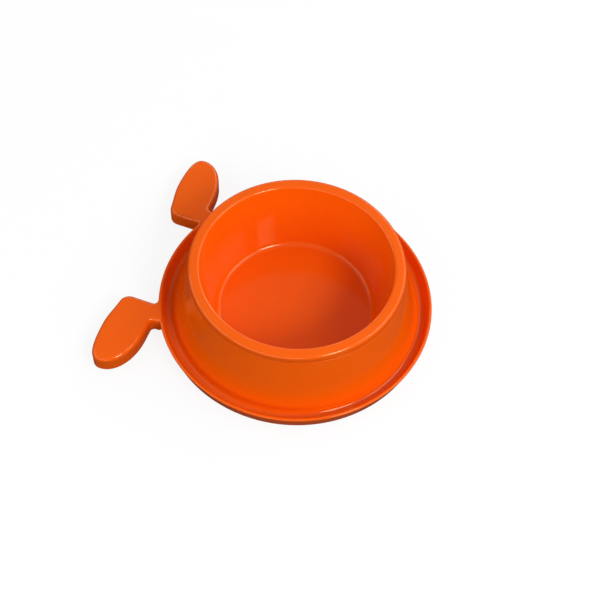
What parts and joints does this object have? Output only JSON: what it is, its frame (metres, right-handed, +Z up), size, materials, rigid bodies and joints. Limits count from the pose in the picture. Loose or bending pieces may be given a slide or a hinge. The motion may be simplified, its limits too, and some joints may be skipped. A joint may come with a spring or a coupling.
{
  "type": "dog food bowl",
  "caption": "Round dog food bowl with a lift-out feeding bowl, a flared stand with a moat and raised lip, floppy-ear handles and rubber feet.",
  "frame": {"origin": "on the surface the bowl stands on, under the middle of its footprint with the ears", "axes": "+Z up out of the bowl, +Y towards the ears, +X to the right when the ears point away"},
  "size_m": [0.2192, 0.2442, 0.065],
  "materials": {
    "orange_plastic": "gloss",
    "foot_rubber": "matte"
  },
  "bodies": {
    "stand_body": {"stand": "orange_plastic", "foot_1": "foot_rubber", "foot_2": "foot_rubber", "foot_3": "foot_rubber", "foot_4": "foot_rubber", "foot_5": "foot_rubber", "foot_6": "foot_rubber"},
    "feeding_bowl_body": {"feeding_bowl": "orange_plastic"}
  },
  "joints": [
    {"name": "bowl_lift", "type": "slide", "parent": "stand_body", "child": "feeding_bowl_body", "axis": [0, 0, 1], "range_m": [0, 0.07]}
  ]
}
